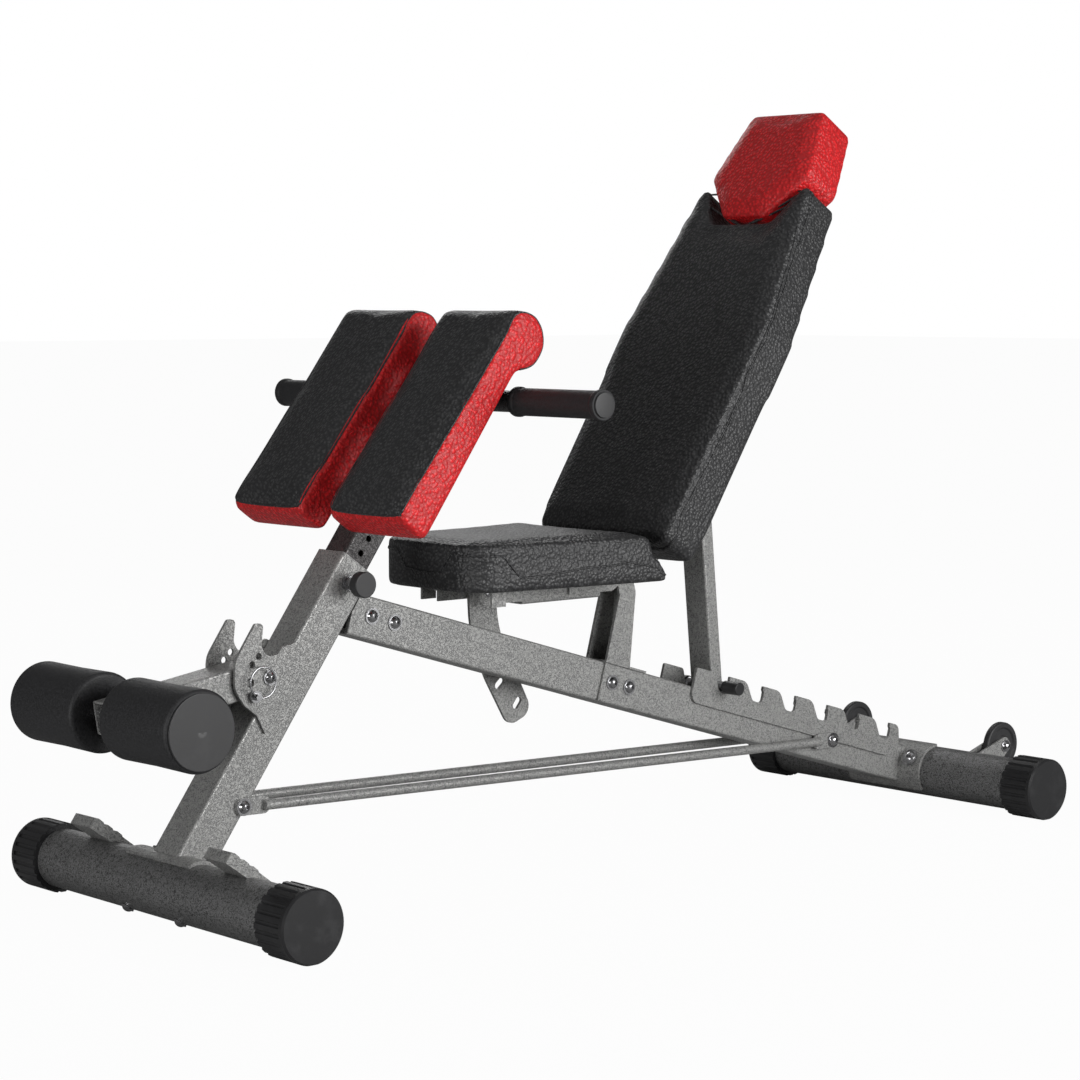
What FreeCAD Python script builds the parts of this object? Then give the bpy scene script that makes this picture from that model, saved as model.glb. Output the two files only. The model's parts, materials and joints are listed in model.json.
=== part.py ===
import FreeCAD, Part
import math
import os
from Sketcher import Constraint

# Adjustable weight bench with back-extension pads, ankle rollers and a ratchet backrest.

V = FreeCAD.Vector
UP_Y = V(0, 1, 0)

doc = FreeCAD.newDocument("bench")

# ---------------------------------------------------------------- driving dimensions
SIZES = {
    "frame_zero_along": -624.0,    # frame's zero line, so that the whole part is centred on X
    "front_foot_offset": 20,       # from the zero line to the front foot's axis
    "rear_foot_offset": 9,         # from the beam line's end to the rear foot's axis
    "foot_height": 40.4,           # height of both feet's axes
    "foot_radius": 34.6,
    "foot_wall": 2.5,
    "front_foot_span": 538,
    "rear_foot_span": 520,
    "beam_end_along": 1240,        # from the zero line to the beam line's end
    "beam_end_height": 44,
    "cap_radius": 41,
    "cap_depth": 50,
    "cap_ribs": 24,
    "saddle_thickness": 4,
    "post_lean": 35.76,            # degrees from upright
    "post_side": 50,
    "post_wall": 2.5,
    "post_reach": 400,             # sleeve's length above its base line
    "slider_side": 40,
    "slider_wall": 2,
    "hole_pitch": 20,
    "beam_side": 50,
    "beam_wall": 2.5,
    "rear_beam_width": 56,
    "rear_beam_wall": 3,
    "ladder_thickness": 4,
    "notch_pitch": 65.5,
    "bar_radius": 7,
    "brace_radius": 6,
    "plate_thickness": 4,
    "roller_radius": 45.5,
    "roller_length": 130,
    "axle_radius": 8,
    "handle_span": 598,
    "handle_radius": 12.5,
    "grip_radius": 16,
    "grip_length": 148,
    "pad_width": 138,
    "seat_thickness": 58,
    "back_thickness": 62,
    "head_thickness": 64,
    "hinge_radius": 6,
    "strut_width": 40,
    "strut_depth": 20,
    "wheel_radius": 32,
    "wheel_width": 10,
    "clearance": 0.3,
    "running_gap": 0.05,
}

sheet = doc.addObject("Spreadsheet::Sheet", "sizes")
for row, (alias, number) in enumerate(SIZES.items(), start=1):
    sheet.set(f"A{row}", alias)
    sheet.set(f"B{row}", str(number))
    sheet.setAlias(f"B{row}", alias)
doc.recompute()


def size(alias):
    return float(getattr(sheet, alias))


FRONT = size("frame_zero_along")
FRONT_FOOT = FRONT + size("front_foot_offset")
FOOT_Z = size("foot_height")
FOOT_R = size("foot_radius")
SADDLE_R = FOOT_R + size("saddle_thickness")
REAR = FRONT + size("beam_end_along")
REAR_FOOT = REAR + size("rear_foot_offset")
GAP = size("clearance")
RUN = size("running_gap")
PLATE = size("plate_thickness")

# Post line: starts above the front foot and leans to the rear.
LEAN = math.radians(size("post_lean"))
POST_DIR = V(math.sin(LEAN), 0, math.cos(LEAN))
POST_BACK = V(math.cos(LEAN), 0, -math.sin(LEAN))
POST_BASE = V(FRONT + 36.3, 0, 64.4)
POST_HALF = size("post_side") / 2

# Beam line: runs down from the post to a point just in front of the rear foot's axis.
BEAM_FALL = math.radians(16.34)
BEAM_DIR = V(math.cos(BEAM_FALL), 0, -math.sin(BEAM_FALL))
BEAM_UP = V(math.sin(BEAM_FALL), 0, math.cos(BEAM_FALL))
BEAM_END = V(REAR, 0, size("beam_end_height"))
BEAM_HALF = size("beam_side") / 2

# Backrest line: BACK_UP runs up the cushion and BACK_OUT points behind it.
RECLINE = math.radians(32.4)
BACK_UP = V(math.sin(RECLINE), 0, math.cos(RECLINE))
BACK_OUT = V(math.cos(RECLINE), 0, -math.sin(RECLINE))
BACK_ZERO = V(FRONT + 705, 0, 370)

HINGE = V(FRONT + 690, 0, 358)         # one axle carries the seat and the backrest
STRUT_TOP = V(FRONT + 836, 0, 480)
ARM_PIVOT = V(FRONT + 140, 0, 268)
ROLLER_AXIS = V(FRONT - 41.5, 0, 239)
WHEEL_AXIS = V(FRONT + 1303, 0, 80)
WHEEL_Y = 133
HANDLE_ALONG = 630                      # handle's place along the post line
PIN_ALONG = 373
SEAT_PIN = V(FRONT + 508, 0, 252)


def on_post(along, back=0, y=0):
    return POST_BASE + POST_DIR * along + POST_BACK * back + V(0, y, 0)


def on_beam(along, up=0, y=0):
    """A point by its distance before the beam line's end and above the centre line."""
    return BEAM_END - BEAM_DIR * along + BEAM_UP * up + V(0, y, 0)


def on_back(up, out=0, y=0):
    return BACK_ZERO + BACK_UP * up + BACK_OUT * out + V(0, y, 0)


def beam_along(x):
    """Distance before the beam line's end at which the line passes over x."""
    return (BEAM_END.x - x) / math.cos(BEAM_FALL)


BAR_ALONG = beam_along(FRONT + 854)     # first notch
BAR_UP = 35
BAR = on_beam(BAR_ALONG, BAR_UP)


# ---------------------------------------------------------------- small makers
nodes = []


def keep(obj, label):
    obj.Label = label
    nodes.append(obj)
    return obj


def turned(direction, origin):
    """Placement whose local X axis lies along a direction in the XZ plane."""
    angle = math.degrees(math.atan2(direction.z, direction.x))
    return FreeCAD.Placement(origin, FreeCAD.Rotation(UP_Y, -angle))


def plane(body, role):
    return next(f for f in body.Origin.OriginFeatures if f.Role == role)


def add_sketch(body, role, name, offset=0):
    sketch = body.newObject("Sketcher::SketchObject", name)
    sketch.AttachmentSupport = [(plane(body, role), "")]
    sketch.MapMode = "FlatFace"
    if offset:
        sketch.AttachmentOffset = FreeCAD.Placement(V(0, 0, offset), FreeCAD.Rotation())
    return sketch


def outline(sketch, points):
    """Closed outline from (x, y) or (x, y, corner radius) points."""
    corners = [V(p[0], p[1], 0) for p in points]
    radii = [p[2] if len(p) > 2 else 0 for p in points]
    count = len(points)
    entries, exits, arcs = [], [], []
    for i, corner in enumerate(corners):
        before = (corners[i - 1] - corner).normalize()
        after = (corners[(i + 1) % count] - corner).normalize()
        if radii[i] == 0:
            entries.append(corner)
            exits.append(corner)
            arcs.append(None)
            continue
        half = before.getAngle(after) / 2
        reach = radii[i] / math.tan(half)
        middle = (before + after).normalize()
        bulge = corner + middle * (radii[i] / math.sin(half) - radii[i])
        entries.append(corner + before * reach)
        exits.append(corner + after * reach)
        arcs.append(Part.Arc(entries[-1], bulge, exits[-1]))
    for i in range(count):
        if arcs[i]:
            sketch.addGeometry(arcs[i], False)
        start, end = exits[i], entries[(i + 1) % count]
        if (end - start).Length > 1e-6:
            sketch.addGeometry(Part.LineSegment(start, end), False)


def circle(sketch, x, y, radius):
    sketch.addGeometry(Part.Circle(V(x, y, 0), V(0, 0, 1), radius), False)


def rectangle(sketch, width, height):
    """Centred rectangle whose two sides follow cells or expressions."""
    w, h = 10, 10
    corners = [V(-w, -h, 0), V(w, -h, 0), V(w, h, 0), V(-w, h, 0)]
    for i in range(4):
        sketch.addGeometry(Part.LineSegment(corners[i], corners[(i + 1) % 4]), False)
    for i in range(4):
        sketch.addConstraint(Constraint("Coincident", i, 2, (i + 1) % 4, 1))
    for i, way in enumerate(("Horizontal", "Vertical", "Horizontal", "Vertical")):
        sketch.addConstraint(Constraint(way, i))
    sketch.addConstraint(Constraint("Symmetric", 0, 1, 2, 1, -1, 1))
    wide = sketch.addConstraint(Constraint("DistanceX", 0, 1, 0, 2, 2 * w))
    tall = sketch.addConstraint(Constraint("DistanceY", 1, 1, 1, 2, 2 * h))
    sketch.renameConstraint(wide, "wide")
    sketch.renameConstraint(tall, "tall")
    sketch.setExpression("Constraints.wide", width)
    sketch.setExpression("Constraints.tall", height)


def new_body(label, placement=None):
    body = doc.addObject("PartDesign::Body", label)
    if placement:
        body.Placement = placement
    return keep(body, label)


def pad(body, sketch, length, symmetric=True, reverse=False):
    feature = body.newObject("PartDesign::Pad", "pad")
    feature.Profile = sketch
    feature.SideType = "Symmetric" if symmetric else "One side"
    feature.Reversed = reverse
    if isinstance(length, str):
        feature.setExpression("Length", length)
    else:
        feature.Length = length
    sketch.Visibility = False
    return feature


def cut(body, sketch):
    """Pocket right through, both ways."""
    feature = body.newObject("PartDesign::Pocket", "cut")
    feature.Profile = sketch
    feature.SideType = "Two sides"
    feature.Type = "ThroughAll"
    feature.Type2 = "ThroughAll"
    return feature


def drill(body, spots, role="XZ_Plane"):
    """Round holes right through: spots are (x, y, radius) in the plane."""
    sketch = add_sketch(body, role, "holes")
    for x, y, radius in spots:
        circle(sketch, x, y, radius)
    return cut(body, sketch)


def plate(label, points, thickness, y=0, holes=(), placement=None):
    """Flat plate standing in an XZ plane, centred on y."""
    place = placement or FreeCAD.Placement()
    place = FreeCAD.Placement(V(0, y, 0), FreeCAD.Rotation()).multiply(place)
    body = new_body(label, place)
    sketch = add_sketch(body, "XZ_Plane", "profile")
    outline(sketch, points)
    pad(body, sketch, thickness)
    if holes:
        drill(body, holes)
    return body


def square_tube(label, placement, width, height, wall, start, end, corner=3):
    """Rectangular tube along local X from start to end, width in Y and height in Z."""
    body = new_body(label, placement)
    outer = add_sketch(body, "YZ_Plane", "outer", start)
    rectangle(outer, width, height)
    pad(body, outer, end - start, symmetric=False)
    doc.recompute()
    edges = [f"Edge{i}" for i, edge in enumerate(body.Shape.Edges, start=1)
             if abs(edge.Length - (end - start)) < 1e-3]
    base = body.Tip
    rounding = body.newObject("PartDesign::Fillet", "rounding")
    rounding.Base = (base, edges)
    rounding.Radius = corner
    inner = add_sketch(body, "YZ_Plane", "inner")
    rectangle(inner, f"({width}) - 2 * ({wall})", f"({height}) - 2 * ({wall})")
    cut(body, inner)
    return body


def revolve(label, placement, points):
    """Solid of revolution about local X from (x, radius) points."""
    body = new_body(label, placement)
    sketch = add_sketch(body, "XY_Plane", "profile")
    outline(sketch, points)
    feature = body.newObject("PartDesign::Revolution", "turned")
    feature.Profile = sketch
    feature.ReferenceAxis = (next(f for f in body.Origin.OriginFeatures if f.Role == "X_Axis"), [""])
    feature.Angle = 360
    return body


def across(x, z, y=0, side=1):
    """Placement whose local X axis points along +Y or -Y."""
    return FreeCAD.Placement(V(x, y, z), FreeCAD.Rotation(V(0, 0, 1), 90 * side))


def group(label, shapes):
    feature = doc.addObject("Part::Feature", label)
    feature.Shape = Part.Compound(shapes)
    return keep(feature, label)


def cylinder(base, direction, radius, length):
    return Part.makeCylinder(radius, length, base, direction)


def dome(base, direction, radius, height):
    """Low rounded bolt head: a slice of a ball."""
    ball = (radius * radius + height * height) / (2 * height)
    centre = base - direction * (ball - height)
    return Part.makeSphere(ball, centre).common(cylinder(base, direction, radius + 1, height + 1))


def bolt(point, direction, grip, shank=4, head=7.5, washer=10, rise=5.5):
    """Through bolt: socket head, two washers and a domed nut, as separate solids."""
    thick, recess = 1.5, 2.4
    top = point + direction * (grip / 2)
    foot = point - direction * (grip / 2)
    rings = []
    for base, way in ((top, direction), (foot, direction * -1)):
        ring = cylinder(base, way, washer, thick)
        rings.append(ring.cut(cylinder(base, way, shank + 0.2, thick)))
    seat = top + direction * thick
    screw = dome(seat, direction, head, rise).cut(
        cylinder(seat + direction * (rise - 3), direction, recess, 4))
    length = grip + 2 * thick + 2.5
    screw = screw.fuse(cylinder(seat, direction * -1, shank, length)).removeSplitter()
    nut_seat = foot - direction * thick
    nut = dome(nut_seat, direction * -1, head, rise).cut(
        cylinder(nut_seat, direction * -1, shank + RUN, 2.7))
    return rings + [screw, nut]


# ---------------------------------------------------------------- feet
def foot_tube(label, x, span):
    """Round tube whose local Z runs along the post, which is the way of the front bolts."""
    half = size(span) / 2 - 5
    body = new_body(label, FreeCAD.Placement(
        V(x, -half, FOOT_Z), FreeCAD.Rotation(UP_Y, POST_BACK * -1, POST_DIR, "XYZ")))
    ring = add_sketch(body, "YZ_Plane", "ring")
    circle(ring, 0, 0, FOOT_R)
    circle(ring, 0, 0, FOOT_R - size("foot_wall"))
    pad(body, ring, f"sizes.{span} - 10", symmetric=False)
    return body


def foot_cap(label, x, span, side):
    """Ribbed end cap with a flat smooth disc and a flat land to stand on."""
    radius, depth = size("cap_radius"), size("cap_depth")
    end = size(span) / 2
    body = new_body(label, across(x, FOOT_Z, side * (end - depth), side))
    disc = add_sketch(body, "YZ_Plane", "disc")
    circle(disc, 0, 0, radius)
    pad(body, disc, "sizes.cap_depth", symmetric=False)
    doc.recompute()
    rim = [f"Edge{i}" for i, edge in enumerate(body.Shape.Edges, start=1)
           if isinstance(edge.Curve, Part.Circle) and abs(edge.Curve.Center.dot(V(0, side, 0)) - end) < 1e-3]
    base = body.Tip
    bevel = body.newObject("PartDesign::Chamfer", "bevel")
    bevel.Base = (base, rim)
    bevel.Size = 2.2
    groove = add_sketch(body, "YZ_Plane", "groove")
    step = 2 * math.pi / size("cap_ribs")
    for i in range(int(size("cap_ribs"))):
        turn = (i + 0.5) * step - math.pi / 2
        circle(groove, (radius + 0.9) * math.cos(turn), (radius + 0.9) * math.sin(turn), 2.6)
    flutes = body.newObject("PartDesign::Pocket", "flutes")
    flutes.Profile = groove
    flutes.Length = depth - 7
    flutes.Reversed = True
    land = add_sketch(body, "YZ_Plane", "land")
    outline(land, [(-20, -FOOT_Z - 5), (20, -FOOT_Z - 5), (20, -FOOT_Z), (-20, -FOOT_Z)])
    cut(body, land)
    bore = add_sketch(body, "YZ_Plane", "bore")
    circle(bore, 0, 0, FOOT_R + 0.1)
    socket = body.newObject("PartDesign::Pocket", "socket")
    socket.Profile = bore
    socket.Length = depth - 4.8
    socket.Reversed = True
    return body


front_tube = foot_tube("front_foot_tube", FRONT_FOOT, "front_foot_span")
rear_tube = foot_tube("rear_foot_tube", REAR_FOOT, "rear_foot_span")
for end_name, side in (("right", -1), ("left", 1)):
    foot_cap(f"front_cap_{end_name}", FRONT_FOOT, "front_foot_span", side)
    foot_cap(f"rear_cap_{end_name}", REAR_FOOT, "rear_foot_span", side)


def saddle(label, x, half_width, start, end):
    """Curved plate wrapped on a foot tube between two angles, in degrees above the front."""
    ring = cylinder(V(x, -half_width, FOOT_Z), UP_Y, SADDLE_R, 2 * half_width)
    ring = ring.cut(cylinder(V(x, -half_width, FOOT_Z), UP_Y, FOOT_R, 2 * half_width))
    rays = [V(-math.cos(math.radians(a)), 0, math.sin(math.radians(a))) * 90 for a in (start, (start + end) / 2, end)]
    centre = V(x, -half_width - 1, FOOT_Z)
    wedge = Part.Face(Part.makePolygon([centre] + [centre + ray for ray in rays] + [centre]))
    shell = ring.common(wedge.extrude(V(0, 2 * half_width + 2, 0)))
    return shell


FRONT_BOLT_Y, REAR_BOLT_Y, REAR_BOLT_ANGLE = 52, 46, math.radians(32)
rear_bolt_dir = V(-math.cos(REAR_BOLT_ANGLE), 0, math.sin(REAR_BOLT_ANGLE))


def drilled(shape, point, direction, radius=4.3):
    return shape.cut(cylinder(point - direction * 80, direction, radius, 160))


front_saddle_shape = saddle("front_saddle", FRONT_FOOT, 62, 66, 176)
rear_saddle_shape = saddle("rear_saddle", REAR_FOOT, 65, -38, 92)
for side in (-1, 1):
    front_saddle_shape = drilled(front_saddle_shape, V(FRONT_FOOT, side * FRONT_BOLT_Y, FOOT_Z), POST_DIR)
    rear_saddle_shape = drilled(rear_saddle_shape, V(REAR_FOOT, side * REAR_BOLT_Y, FOOT_Z), rear_bolt_dir)
group("front_saddle", [front_saddle_shape])
group("rear_saddle", [rear_saddle_shape])

half = size("front_foot_span") / 2 - 5
drill(front_tube, [(half + side * FRONT_BOLT_Y, 0, 4.3) for side in (-1, 1)], "XY_Plane")
group("front_foot_bolts", [piece for side in (-1, 1) for piece in bolt(
    V(FRONT_FOOT, side * FRONT_BOLT_Y, FOOT_Z) + POST_DIR * (SADDLE_R - FOOT_R) / 2, POST_DIR, SADDLE_R + FOOT_R,
    head=6.5, washer=8, rise=3.5)])


def screw_head(point, direction, head=7.5, washer=10, shank=4, reach=3.6):
    """Socket-head screw on a washer, with a short shank behind it."""
    ring = cylinder(point, direction, washer, 1.5).cut(cylinder(point, direction, shank + 0.2, 1.5))
    seat = point + direction * 1.5
    screw = dome(seat, direction, head, 5).cut(cylinder(seat + direction * 2.2, direction, 2.4, 4))
    return [ring, screw.fuse(cylinder(seat, direction * -1, shank, 1.5 + reach)).removeSplitter()]


rear_screws = []
for side in (-1, 1):
    spot = V(REAR_FOOT, side * REAR_BOLT_Y, FOOT_Z) + rear_bolt_dir * (SADDLE_R + 0.9)
    rear_screws += screw_head(spot, rear_bolt_dir, head=9, washer=12)
group("rear_foot_bolts", rear_screws)


def foot_rest(label, y):
    """Bar across the front tube, square to the post, with three steps at the front."""
    width, front, rear, seat = 42, -56, 38, FOOT_R - 8
    teeth = [(front, seat + 13)]
    for i in range(3):
        left = front + 2 + i * 15
        teeth += [(left + 2, seat + 14.5, 1), (left + 10, seat + 14, 1), (left + 12, seat + 12.5)]
    teeth += [(rear, seat + 11)]
    body = new_body(label, FreeCAD.Placement(V(0, y, 0), FreeCAD.Rotation()).multiply(
        turned(POST_BACK, V(FRONT_FOOT, 0, FOOT_Z))))
    side_face = add_sketch(body, "XZ_Plane", "side")
    outline(side_face, [(front, seat), (rear, seat)] + teeth[::-1])
    pad(body, side_face, width)
    tube_side = add_sketch(body, "XZ_Plane", "tube_side")
    circle(tube_side, 0, 0, FOOT_R + 0.05)
    cut(body, tube_side)
    return body


foot_rest("foot_rest_right", -133)
foot_rest("foot_rest_left", 133)

# ---------------------------------------------------------------- post, beams and braces
POST_PLACE = turned(POST_DIR, POST_BASE)      # local X up the post, local Z to the front
sleeve = square_tube("post_sleeve", POST_PLACE, "sizes.post_side", "sizes.post_side", "sizes.post_wall",
                     -28, size("post_reach"))
cope = add_sketch(sleeve, "XZ_Plane", "cope")
foot_centre = POST_PLACE.inverse().multVec(V(FRONT_FOOT, 0, FOOT_Z))
circle(cope, foot_centre.x, foot_centre.z, SADDLE_R + 0.05)
cut(sleeve, cope)
drill(sleeve, [(PIN_ALONG, 0, 4.2)])

bush = square_tube("slider_bush", POST_PLACE, "sizes.post_side - 2 * sizes.post_wall - 0.1",
                   "sizes.post_side - 2 * sizes.post_wall - 0.1", "2.3", size("post_reach") - 90,
                   size("post_reach") - 0.5, corner=0.8)
drill(bush, [(PIN_ALONG, 0, 4.2)])

slider = square_tube("pad_post_tube", POST_PLACE, "sizes.slider_side", "sizes.slider_side",
                     "sizes.slider_wall", 195, 672)
pitch = size("hole_pitch")
drill(slider, [(PIN_ALONG + (i - 2) * pitch, 0, 4) for i in range(12)] + [
    (HANDLE_ALONG, 0, size("handle_radius") + 0.1)])

BEAM_PLACE = turned(BEAM_DIR * -1, BEAM_END)  # local X up to the front, local Z is down
JOINT_FRONT = beam_along(FRONT + 651)
POST_REAR = beam_along(FRONT + 318)
front_beam = square_tube("front_beam", BEAM_PLACE, "sizes.beam_side", "sizes.beam_side", "sizes.beam_wall",
                         JOINT_FRONT + 0.2, POST_REAR + 60)
behind_post = add_sketch(front_beam, "XZ_Plane", "behind_post")
to_beam = BEAM_PLACE.inverse()


def beam_local(point):
    spot = to_beam.multVec(point)
    return (spot.x, spot.z)


post_rear_low = beam_local(on_post(100, POST_HALF + 0.05))
post_rear_high = beam_local(on_post(480, POST_HALF + 0.05))
far = POST_REAR + 400
outline(behind_post, [post_rear_low, post_rear_high, (far, post_rear_high[1]), (far, post_rear_low[1])])
cut(front_beam, behind_post)
FRONT_BOLTS = [(FRONT + 289.3, 325.9), (FRONT + 323.1, 316)]
JOINT_BOLTS = [(FRONT + 668.6, 214), (FRONT + 697.4, 205.6)]


def beam_holes(spots, radius=4.2):
    return [beam_local(V(x, 0, z)) + (radius,) for x, z in spots]


drill(front_beam, beam_holes(FRONT_BOLTS))

lug = square_tube("post_lug", BEAM_PLACE, "44.6", "44.6", "4", POST_REAR - 62, POST_REAR + 60)
lug_end = add_sketch(lug, "XZ_Plane", "lug_end")
outline(lug_end, [post_rear_low, post_rear_high, (far, post_rear_high[1]), (far, post_rear_low[1])])
cut(lug, lug_end)
drill(lug, beam_holes(FRONT_BOLTS))

rear_beam = square_tube("rear_beam", BEAM_PLACE, "sizes.rear_beam_width", "sizes.beam_side",
                        "sizes.rear_beam_wall", 0, JOINT_FRONT)
shape_end = add_sketch(rear_beam, "XZ_Plane", "rear_end")
circle(shape_end, *beam_local(V(REAR_FOOT, 0, FOOT_Z)), SADDLE_R + 0.05)
cut(rear_beam, shape_end)
BRACE_REAR = (FRONT + 1069, 100)
drill(rear_beam, beam_holes(JOINT_BOLTS + [BRACE_REAR]))

joiner = square_tube("beam_joiner", BEAM_PLACE, "43.6", "43.6", "4", JOINT_FRONT - 85, JOINT_FRONT + 60)
drill(joiner, beam_holes(JOINT_BOLTS))

cap_plate = new_body("joint_cap_plate", BEAM_PLACE)
cap_face = add_sketch(cap_plate, "XZ_Plane", "side")
outline(cap_face, [(JOINT_FRONT - 72, -BEAM_HALF), (JOINT_FRONT, -BEAM_HALF), (JOINT_FRONT, -BEAM_HALF - 2.5),
                   (JOINT_FRONT - 72, -BEAM_HALF - 2.5)])
pad(cap_plate, cap_face, "sizes.rear_beam_width")

LADDER_Y = size("rear_beam_width") / 2 + PLATE / 2


def ladder_outline():
    """Ratchet strip with six notches, in the beam's local XZ frame (Z is down)."""
    pitch, notches = size("notch_pitch"), 6
    top, valley = -50, -(BAR_UP - size("bar_radius") - 0.3)
    slot = size("bar_radius") + 0.5
    front_end = beam_along(FRONT + 801)
    points = [(front_end, -5, 14), (front_end, top, 3)]
    for i in range(notches):
        centre = BAR_ALONG - i * pitch
        crest = centre + slot + (13 if i == 0 else 18)
        points += [(crest, top, 6 if i == 0 else 17), (centre + slot + 0.5, valley, 8),
                   (centre - slot - 2.5, valley, 5), (centre - slot - 2.5, top + 8, 1.5),
                   (centre - slot, top + 5, 1), (centre - slot, top, 1)]
    last = BAR_ALONG - (notches - 1) * pitch - slot
    points += [(last - 18, top, 10), (last - 26, -28, 6), (last - 6, -5, 3)]
    return points


for name, side in (("right", -1), ("left", 1)):
    plate(f"ladder_plate_{name}", ladder_outline(), "sizes.ladder_thickness", side * LADDER_Y,
          beam_holes([BRACE_REAR]), BEAM_PLACE)

BRACE_FRONT = V(FRONT + 103, 0, 124.5)
TAB = 3.5


def brace(label, side):
    """Round rod with a flattened, drilled tab at each end."""
    front_y, rear_y = POST_HALF + TAB / 2 + 0.1, LADDER_Y + PLATE / 2 + TAB / 2 + 0.1
    start = BRACE_FRONT + V(0, side * front_y, 0)
    finish = V(BRACE_REAR[0], side * rear_y, BRACE_REAR[1])
    run = (finish - start).normalize()
    rod_start, rod_end = start + run * 27 + V(0, side * 3, 0), finish - run * 27 + V(0, side * 3, 0)
    rod = cylinder(rod_start, (rod_end - rod_start).normalize(), size("brace_radius"), (rod_end - rod_start).Length)
    shape = rod
    for point, way in ((start, 1), (finish, -1)):
        blank = Part.makeBox(46, TAB, 20, V(-10, -TAB / 2, -10))
        blank = blank.makeFillet(8, [e for e in blank.Edges if abs(e.Length - TAB) < 1e-6])
        angle = math.degrees(math.atan2(-run.z * way, run.x * way))
        blank.Placement = FreeCAD.Placement(point, FreeCAD.Rotation(UP_Y, angle))
        shape = shape.fuse(blank)
    rear_face = side * (rear_y - TAB / 2)
    trim = Part.makeBox(80, 20, 80, V(finish.x - 60, min(rear_face, rear_face - side * 20), finish.z - 40))
    front_face = side * POST_HALF
    clear = Part.makeBox(80, 20, 80, V(start.x - 40, min(front_face, front_face - side * 20), start.z - 40))
    shape = shape.cut(trim).cut(clear).removeSplitter()
    for point in (start, finish):
        shape = drilled(shape, point, UP_Y)
    return group(label, [shape])


brace("brace_right", -1)
brace("brace_left", 1)
brace_spot = POST_PLACE.inverse().multVec(BRACE_FRONT)
drill(sleeve, [(brace_spot.x, brace_spot.z, 4.2)])

group("beam_front_bolts", [s for x, z in FRONT_BOLTS for s in bolt(V(x, 0, z), V(0, -1, 0), 2 * BEAM_HALF)])
group("beam_joint_bolts", [s for x, z in JOINT_BOLTS for s in bolt(
    V(x, 0, z), V(0, -1, 0), size("rear_beam_width"))])
group("brace_bolts", bolt(BRACE_FRONT, V(0, -1, 0), 2 * (POST_HALF + TAB + 0.1)) + bolt(
    V(BRACE_REAR[0], 0, BRACE_REAR[1]), V(0, -1, 0), 2 * (LADDER_Y + PLATE / 2 + TAB + 0.1)))

# ---------------------------------------------------------------- ankle bracket and roller arm
def ankle_plate(label, y):
    inner_low, inner_high = on_post(170, -POST_HALF + 22), on_post(280, -POST_HALF + 22)
    hook = [(122, 226), (106, 238, 10), (92, 257, 30), (93, 290, 30), (121, 330, 4), (132, 330, 5), (129, 305, 9),
            (141, 276, 14), (157, 300, 5), (175, 304)]
    points = [(FRONT + p[0],) + p[1:] for p in hook]
    points += [(inner_high.x, inner_high.z), (inner_low.x, inner_low.z)]
    holes = [(ARM_PIVOT.x, ARM_PIVOT.z, 5.05)]
    holes += [(ARM_PIVOT.x + r * math.cos(math.radians(a)), ARM_PIVOT.z + r * math.sin(math.radians(a)), 4.2)
              for a, r in ((121, 29), (146, 29), (221, 30))]
    holes += [(FRONT + 113, 264, 5.5)]
    return plate(label, points, "sizes.plate_thickness", y, holes)


ANKLE_Y = POST_HALF + PLATE / 2
ankle_plate("ankle_plate_right", -ANKLE_Y)
ankle_plate("ankle_plate_left", ANKLE_Y)

arm_run = ROLLER_AXIS - ARM_PIVOT
ARM_LENGTH = arm_run.Length
ARM_PLACE = turned(arm_run, ARM_PIVOT)
arm = square_tube("roller_arm", ARM_PLACE, "44", "38", "2.5", 17, ARM_LENGTH + 17)
drill(arm, [(ARM_LENGTH, 0, size("axle_radius"))])
ears = new_body("arm_ears", ARM_PLACE)
ear_face = add_sketch(ears, "XZ_Plane", "ear")
outline(ear_face, [(-8.8, -8.8, 8.7), (55, -15), (55, 15), (-8.8, 8.8, 8.7)])
pad(ears, ear_face, 38.8)
between = add_sketch(ears, "XY_Plane", "between")
outline(between, [(-20, -15.5), (60, -15.5), (60, 15.5), (-20, 15.5)])
cut(ears, between)
drill(ears, [(0, 0, 5.05)])
pivot_bolt = bolt(ARM_PIVOT, V(0, -1, 0), 2 * (POST_HALF + PLATE), shank=5, head=7, washer=9)
group("arm_pivot_bolt", pivot_bolt)

axle_half = 27.6 + size("roller_length") - 4
group("roller_axle", [cylinder(ROLLER_AXIS - V(0, axle_half, 0), UP_Y, size("axle_radius"), 2 * axle_half)])
for name, side in (("right", -1), ("left", 1)):
    inner_end, outer_end = 27.6, 27.6 + size("roller_length")
    bore = size("axle_radius") + RUN
    place = across(ROLLER_AXIS.x, ROLLER_AXIS.z, 0, side)
    revolve(f"roller_foam_{name}", place, [
        (inner_end, bore + 3), (inner_end, size("roller_radius"), 3),
        (outer_end - 1.5, size("roller_radius"), 3), (outer_end - 1.5, bore + 3)])
    revolve(f"roller_core_{name}", place, [
        (inner_end + 0.5, bore), (inner_end + 0.5, bore + 2.9), (outer_end - 1.4, bore + 2.9),
        (outer_end - 1.4, 42, 1), (outer_end + 1, 42, 1), (outer_end + 1.2, 0),
        (outer_end - 3.5, 0), (outer_end - 3.5, bore)])

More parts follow.
